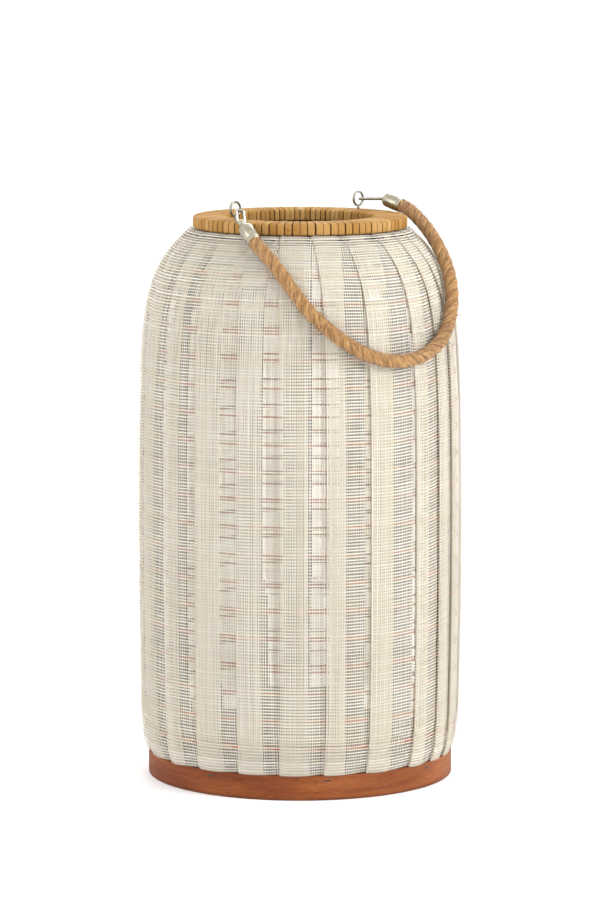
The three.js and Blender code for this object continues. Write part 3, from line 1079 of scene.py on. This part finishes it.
def makeRing():
    r = ringSettings
    rng = random.Random(3)
    first, middle, outer = oneTurn()
    layer = first.data.uv_layers[0]
    layer.name = "along"
    low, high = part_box("top_ring_wrap")
    zMiddle = (low.z + high.z) / 2
    half = math.pi * outer / r["turns"]
    for loop in first.data.loops:
        p = first.data.vertices[loop.vertex_index].co
        around = math.atan2(p.z - zMiddle, -p.y - middle) / math.pi
        layer.data[loop.index].uv = (p.x / (2 * half) * outer / -p.y, around * 6)
    count = len(first.data.vertices)
    xs = np.array([abs(v.co.x) / (half * -v.co.y / outer) for v in first.data.vertices])
    edge = first.data.attributes.new("turnEdge", "FLOAT", "POINT")
    edge.data.foreach_set("value", np.clip((xs - 0.6) / 0.3, 0, 1).astype(np.float32))
    first.data.attributes.new("turnTone", "FLOAT", "POINT")
    turns = []
    for i in range(r["turns"]):
        azimuth = 2 * math.pi * (i + 0.5) / r["turns"]
        lean = Matrix.Translation((0, -middle, zMiddle))
        lean = lean @ Matrix.Rotation(math.radians(rng.uniform(-1, 1) * r["lean"]), 4, "Z")
        lean = lean @ Matrix.Scale(rng.uniform(0.985, 1.012), 4) @ Matrix.Translation((0, middle, -zMiddle))
        turn = copied(first, Matrix.Rotation(azimuth, 4, "Z") @ lean)
        turn.data.attributes["turnTone"].data.foreach_set("value", np.full(count, rng.random(), np.float32))
        along = turn.data.uv_layers["along"].data
        uv = np.zeros(len(along) * 2, np.float32)
        along.foreach_get("uv", uv)
        shift = np.tile([rng.uniform(0, 90), rng.uniform(0, 90)], len(along)).astype(np.float32)
        along.foreach_set("uv", uv + shift)
        turns.append(turn)
    bpy.data.objects.remove(first)
    ring = joined(turns, "reed_wound_ring")
    finished(ring, bodyName, reedMaterial(), ["top_ring_wrap"])
    paint("top_ring_core", coreMaterial())


print("ring")
makeRing()


# Eye screws, links and ferrules

hardwareSettings = {
    "eyeRadius": 0.080,
    "leftEyeAzimuth": -45,
    "rightEyeAzimuth": 139,
    "hingeHeight": 0.5106,
    "eyeLoop": 0.0062,
    "eyeWire": 0.0011,
    "stemFoot": 0.4945,
    "threadPitch": 0.0009,
    "threadDepth": 0.00012,
    "linkWire": 0.0013,
    "linkHalfWidth": 0.0033,
    "linkEnd": [(0, 0.0006), (0, 0.002), (-0.0006, 0.003)],
    "linkLeg": [0.12, 0.4, 0.7],
    "ferruleRadius": 0.0065,
    "ferruleLength": 0.0195,
    "lugRadius": 0.003,
    "neckRadius": 0.0022,
}


def eyeAt(azimuth):
    h = hardwareSettings
    a = math.radians(azimuth)
    return Vector((h["eyeRadius"] * math.sin(a), -h["eyeRadius"] * math.cos(a), h["hingeHeight"]))


def zincMaterial():
    sh = Shader("zinc_wire")
    wear = sh.noise(sh.place(), 700, 4)
    dull = sh.noise(sh.place(), 160, 2)
    colour = sh.ramp(wear, [(0.3, tone("6f6c60")), (0.55, tone("99978b")), (0.8, tone("bcbab0"))])
    colour = sh.mix(sh.between(dull, 0.55, 0.75, 0, 0.5), colour, tone("8a7c62"))
    rough = sh.between(dull, 0.3, 0.7, 0.2, 0.4)
    return sh.finish(Base_Color=colour, Metallic=1.0, Roughness=rough, Normal=sh.bump(wear, 0.0001))


def nickelMaterial():
    sh = Shader("satin_nickel")
    scratches = sh.noise(sh.scaled(sh.place(), (90, 900, 1400), (0.5, 0.4, 0.9)), 1.0, 4, 0.7)
    dull = sh.noise(sh.place(), 120, 3)
    colour = sh.ramp(scratches, [(0.3, tone("8f8775")), (0.5, tone("aaa392")), (0.75, tone("c4beb0"))])
    colour = sh.mix(sh.between(dull, 0.5, 0.75, 0, 0.4), colour, tone("8a7b61"))
    rough = sh.between(scratches, 0.3, 0.7, 0.22, 0.34)
    return sh.finish(Base_Color=colour, Metallic=1.0, Roughness=rough, Normal=sh.bump(scratches, 0.0001))


def makeEye(side, eye, hinge, zinc):
    # Wire: a stem with a thread, then a ring that all but closes.
    h = hardwareSettings
    loop, wire = h["eyeLoop"], h["eyeWire"]
    heights = np.linspace(h["stemFoot"], eye.z - loop - 0.0012, 8)
    stem = [eye + Vector((0, 0, z - eye.z)) for z in heights]
    start, end = math.radians(-82), math.radians(252)
    ring = []
    for t in np.linspace(start, end, 40):
        ring.append(eye + hinge * (loop * math.cos(t)) + Vector((0, 0, loop * math.sin(t))))
    line = smoothThrough([tuple(p) for p in stem + ring], 96)
    radii = []
    for point in line:
        threaded = point[2] < eye.z - loop - 0.003
        turns = point[2] / h["threadPitch"]
        swell = h["threadDepth"] * math.sin(turns * 2 * math.pi) if threaded else 0
        radii.append(wire + swell)
    piece = tube(f"eye_{side}_wire", line, radii, 14, tuple(hinge.cross(Vector((0, 0, 1)))))
    finished(piece, bodyName, zinc, [f"eye_screw_{side}"])


def linkLine(eye, lug, hinge):
    # In at one side of the lug, along a leg, round the loop's limb and back along the other leg.
    h = hardwareSettings
    toLug = lug - eye
    outwards = (toLug - hinge * toLug.dot(hinge)).normalized()
    limb = eye + outwards * h["eyeLoop"]
    along = (lug - limb).normalized()
    across = along.cross(outwards.cross(hinge)).normalized()

    def leg(side):
        ends = [lug + along * ahead + across * (side * aside) for ahead, aside in h["linkEnd"]]
        return ends + [lug.lerp(limb, share) + across * (side * h["linkHalfWidth"]) for share in h["linkLeg"]]

    bow = []
    for t in np.linspace(0, math.pi, 13):
        bow.append(limb + h["linkHalfWidth"] * (across * math.cos(t) - along * math.sin(t)))
    return leg(1) + bow + leg(-1)[::-1]


def makeLink(side, line, zinc):
    even = smoothThrough([tuple(p) for p in line], 90)
    wire = hardwareSettings["linkWire"]
    piece = tube(f"link_{side}_wire", even, np.full(90, wire), 14, (0.1, 0.2, 1))
    finished(piece, handleName, zinc, [f"handle_link_{side}"])


def makeFerrule(side, lug, mouth, nickel):
    # A drawn cap with a crimp near its mouth, a rounded shoulder, a neck and a round lug.
    h = hardwareSettings
    radius, length = h["ferruleRadius"], h["ferruleLength"]
    reach = (lug - mouth).length
    rings = [
        (radius - 0.0009, 0.0004),
        (radius - 0.0004, 0),
        (radius, 0.0004),
        (radius, 0.0030),
        (radius - 0.0003, 0.0036),
        (radius - 0.0003, 0.0044),
        (radius, 0.0050),
        (radius, length - 0.0028),
        (radius - 0.0003, length - 0.0017),
        (radius - 0.0010, length - 0.0007),
        (radius - 0.0020, length - 0.0001),
        (radius - 0.0032, length + 0.0001),
        (h["neckRadius"] + 0.0003, length + 0.0002),
        (h["neckRadius"], length + 0.0006),
        (h["neckRadius"], reach - 0.0018),
    ]
    ball = h["lugRadius"]
    for t in np.linspace(math.radians(-42), math.radians(86), 9):
        rings.append((ball * math.cos(t), reach + ball * math.sin(t)))
    ferrule = barrel(f"ferrule_{side}_cap", rings, 40)
    turn = Vector((0, 0, 1)).rotation_difference(lug - mouth).to_matrix().to_4x4()
    settle(ferrule, Matrix.Translation(mouth) @ turn)
    smooth(ferrule, 38)
    finished(ferrule, handleName, nickel, [f"ferrule_{side}"])


def makeHardware():
    h = hardwareSettings
    zinc, nickel = zincMaterial(), nickelMaterial()
    left, right = eyeAt(h["leftEyeAzimuth"]), eyeAt(h["rightEyeAzimuth"])
    hinge = (right - left).normalized()
    sides = [("left", left, leftLug, leftMouth), ("right", right, rightLug, rightMouth)]
    for side, eye, lug, mouth in sides:
        makeEye(side, eye, hinge, zinc)
        makeLink(side, linkLine(eye, lug, hinge), zinc)
        makeFerrule(side, lug, mouth, nickel)


print("hardware")
makeHardware()


# Candle glass

glassSettings = {"wall": 0.003, "floor": 0.0045, "ease": 0.0008, "vertices": 96}


def glassMaterial():
    sh = Shader("clear_glass")
    smears = sh.noise(sh.place(), 30, 3)
    rough = sh.between(smears, 0.45, 0.75, 0.01, 0.05)
    clear = {"Transmission_Weight": 1.0, "IOR": 1.46}
    return sh.finish(Base_Color=(0.96, 0.985, 0.975), Roughness=rough, **clear)


def makeGlass():
    g = glassSettings
    low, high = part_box("candle_glass")
    radius, height, ease = high.x, high.z - low.z, g["ease"]
    inner = radius - g["wall"]
    rings = [
        (radius - ease, 0),
        (radius, ease),
        (radius, height - ease),
        (radius - ease, height),
        (inner + ease, height),
        (inner, height - ease),
        (inner, g["floor"] + 3 * ease),
        (inner - ease, g["floor"] + ease),
        (inner - 3 * ease, g["floor"]),
    ]
    glass = barrel("candle_jar", rings, g["vertices"])
    settle(glass, Matrix.Translation((0, 0, low.z)))
    finished(smooth(glass, 40), "candle_glass", glassMaterial(), ["candle_glass"])


print("glass")
makeGlass()


# Studio

studioSettings = {
    "floor": 60,
    "world": 1.27,
    "key": {"place": (3.3, -1.4, 2.0), "size": 1.6, "power": 100},
    "fill": {"place": (-2.6, -1.8, 1.6), "size": 2.2, "power": 28},
    "back": {"place": (0.2, 2.6, 1.6), "size": 2.0, "power": 45},
}


def makeStudio():
    s = studioSettings
    clearSelection()
    bpy.ops.mesh.primitive_plane_add(size=s["floor"], location=(0, 0, 0))
    floor = bpy.context.object
    floor.name = "studio_floor"
    sh = Shader("pale_floor")
    floor.data.materials.append(sh.finish(Base_Color=(0.93, 0.93, 0.93), Roughness=0.9))
    world = bpy.data.worlds.new("studio")
    world.use_nodes = True
    background = world.node_tree.nodes["Background"]
    background.inputs["Color"].default_value = (1, 1, 1, 1)
    background.inputs["Strength"].default_value = s["world"]
    bpy.context.scene.world = world
    for name in ("key", "fill", "back"):
        light = s[name]
        data = bpy.data.lights.new(name, "AREA")
        data.size = light["size"]
        data.energy = light["power"]
        lamp = bpy.data.objects.new(name, data)
        lamp.location = light["place"]
        aim = Vector((0, 0, 0.25)) - Vector(light["place"])
        lamp.rotation_euler = aim.to_track_quat("-Z", "Y").to_euler()
        bpy.context.scene.collection.objects.link(lamp)
    bpy.context.scene.view_settings.view_transform = "Standard"


print("studio")
makeStudio()
